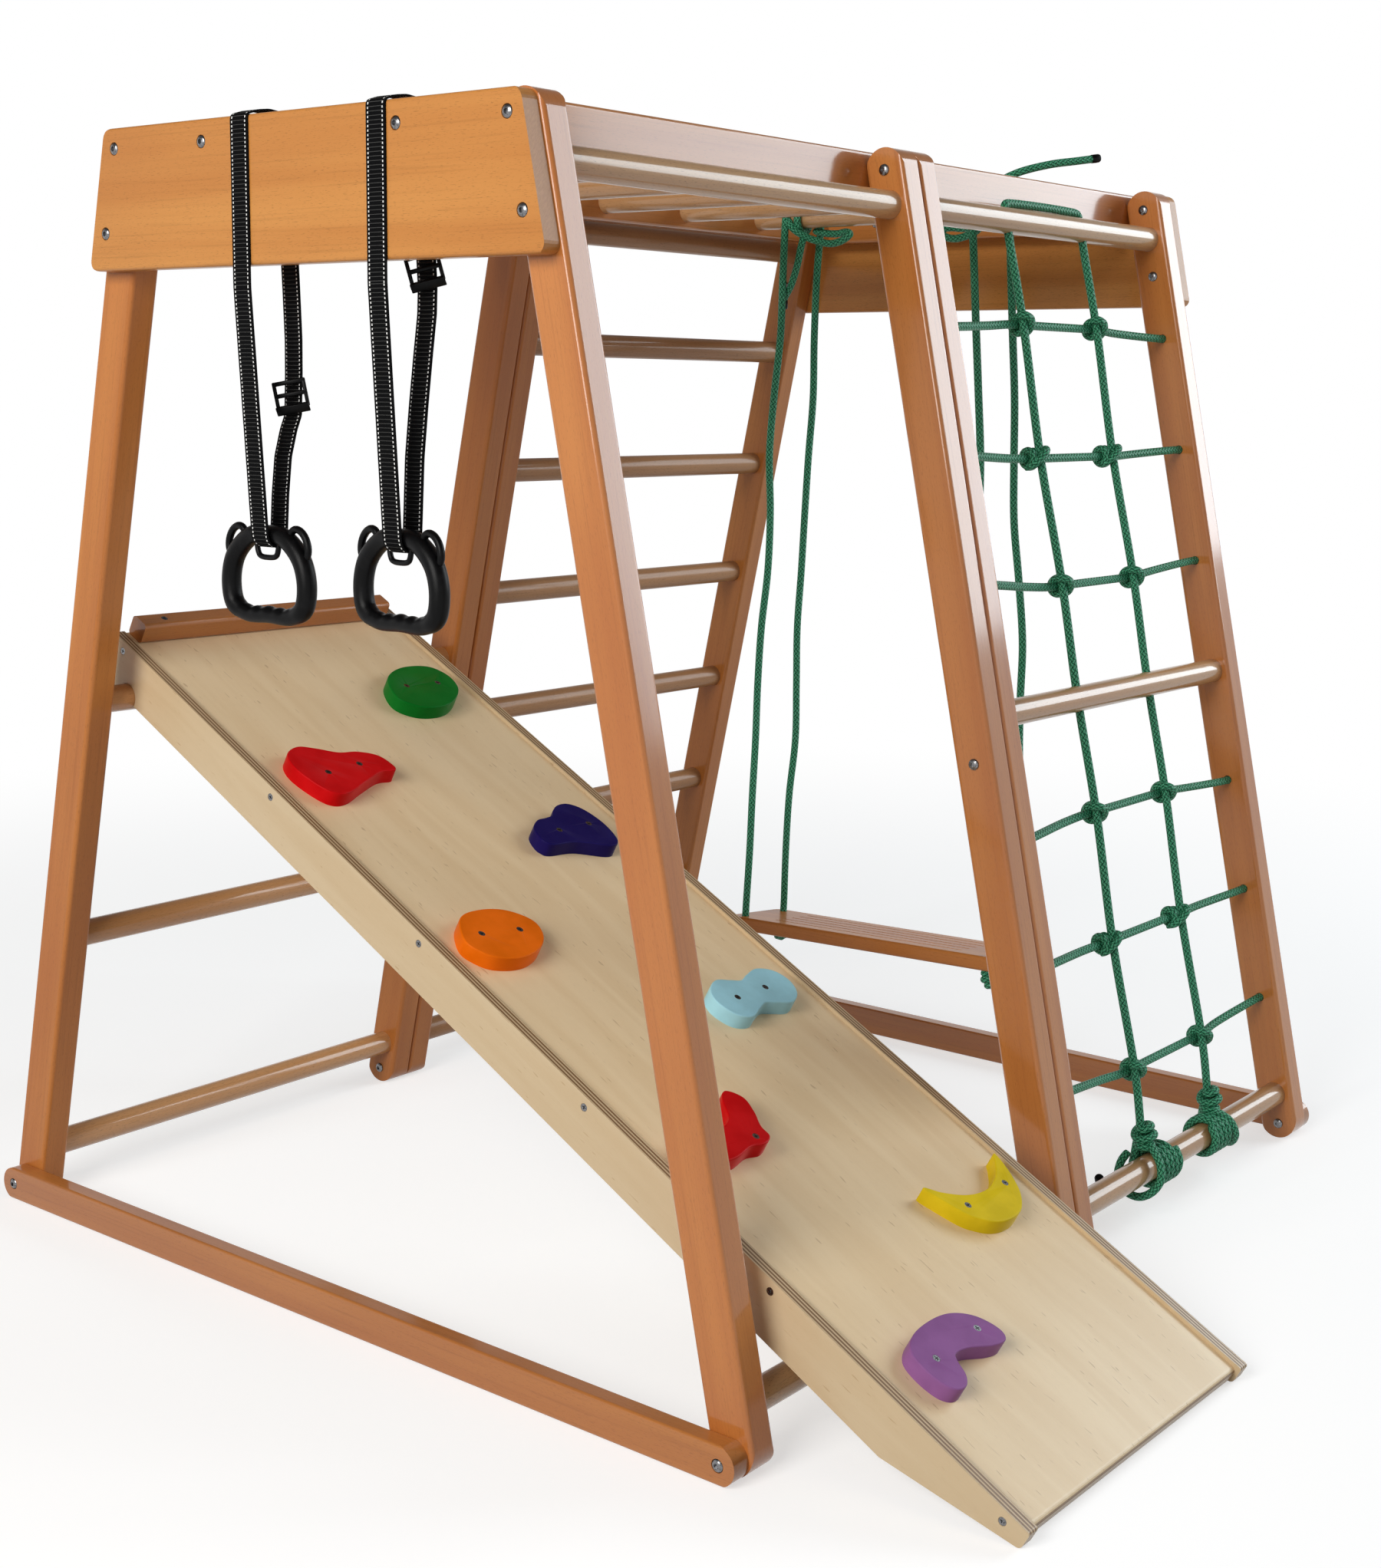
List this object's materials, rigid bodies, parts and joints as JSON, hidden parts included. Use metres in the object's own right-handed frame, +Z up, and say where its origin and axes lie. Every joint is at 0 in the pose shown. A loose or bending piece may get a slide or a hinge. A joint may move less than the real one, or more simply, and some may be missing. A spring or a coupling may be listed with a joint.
{
  "type": "wooden climbing frame",
  "caption": "Free-standing wooden A-frame climbing set with ladder, rope net, monkey bars, swing, hand rings and a sloping board with shaped holds.",
  "frame": {"origin": "on the floor under the middle of the whole part's box", "axes": "+X along the frame from the rings to the swing, -Y towards the foot of the climbing board, +Z up"},
  "size_m": [1.306, 1.4166, 1.275],
  "materials": {
    "beech": "satin lacquer",
    "pale_beech": "satin lacquer",
    "steel": "zinc plated",
    "rope": "braided",
    "webbing": "woven, two white thread rows",
    "black_plastic": "moulded",
    "birch_plywood": "matt lacquer",
    "hold_green": "satin",
    "hold_red_upper": "satin",
    "hold_navy": "satin",
    "hold_orange": "satin",
    "hold_sky": "satin",
    "hold_red_lower": "satin",
    "hold_yellow": "satin",
    "hold_purple": "satin"
  },
  "bodies": {
    "frame": {"leg_front_left": "beech", "leg_front_mid_left": "beech", "leg_front_mid_right": "beech", "leg_front_right": "beech", "leg_back_left": "beech", "leg_back_mid_left": "beech", "leg_back_mid_right": "beech", "leg_back_right": "beech", "end_board_left": "beech", "end_board_right": "beech", "floor_rail_left": "beech", "floor_rail_right": "beech", "top_beam_front": "beech", "top_beam_back": "beech", "top_cross_left": "beech", "top_cross_right": "beech", "monkey_bars": "pale_beech", "swing_bar": "pale_beech", "front_left_dowels": "pale_beech", "net_dowel_top": "pale_beech", "net_dowel_mid": "pale_beech", "net_dowel_low": "pale_beech", "back_left_rungs": "pale_beech", "board_rung": "pale_beech", "ladder_rungs": "pale_beech", "end_bolts": "steel", "end_nuts": "steel", "centre_bolts": "steel", "centre_nuts": "steel", "beam_screws": "steel", "net_upright_rope": "rope", "net_cross_ropes": "rope", "strap_top_1": "webbing", "strap_top_2": "webbing", "buckle_2": "black_plastic"},
    "climbing_board": {"slide_panel": "birch_plywood", "slide_rail_left": "birch_plywood", "slide_rail_right": "birch_plywood", "slide_cleat": "beech", "hold_green": "hold_green", "hold_red_upper": "hold_red_upper", "hold_navy": "hold_navy", "hold_orange": "hold_orange", "hold_sky": "hold_sky", "hold_red_lower": "hold_red_lower", "hold_yellow": "hold_yellow", "hold_purple": "hold_purple", "hold_screws": "steel", "slide_screws": "steel"},
    "swing": {"swing_seat": "beech", "swing_rope_back": "rope", "swing_rope_front": "rope"},
    "sling_1": {"strap_sling_1": "webbing", "buckle_1": "black_plastic"},
    "sling_2": {"strap_sling_2": "webbing"},
    "ring_1": {"ring_1": "black_plastic"},
    "ring_2": {"ring_2": "black_plastic"}
  },
  "joints": [
    {"name": "swing_hinge", "type": "hinge", "parent": "frame", "child": "swing", "pos_m": [0.42429, 0.12983, 1.247], "axis": [0, 1, 0], "range_deg": [-45, 25]},
    {"name": "board_hinge", "type": "hinge", "parent": "frame", "child": "climbing_board", "pos_m": [-0.347, 0.55276, 0.633], "axis": [-1, 0, 0], "range_deg": [0, 25]},
    {"name": "sling_1_hinge", "type": "hinge", "parent": "frame", "child": "sling_1", "pos_m": [-0.6225, 0.21183, 1.1], "axis": [0, 1, 0], "range_deg": [-20, 40], "deforming": ["strap_sling_1"]},
    {"name": "sling_2_hinge", "type": "hinge", "parent": "frame", "child": "sling_2", "pos_m": [-0.6225, 0.01083, 1.1], "axis": [0, 1, 0], "range_deg": [-20, 40], "deforming": ["strap_sling_2"]},
    {"name": "ring_1_hinge", "type": "hinge", "parent": "sling_1", "child": "ring_1", "pos_m": [-0.6225, 0.21483, 0.846], "axis": [0, 1, 0], "range_deg": [-50, 50]},
    {"name": "ring_2_hinge", "type": "hinge", "parent": "sling_2", "child": "ring_2", "pos_m": [-0.6225, 0.01383, 0.852], "axis": [0.0872, 0.9962, 0], "range_deg": [-50, 50]}
  ]
}
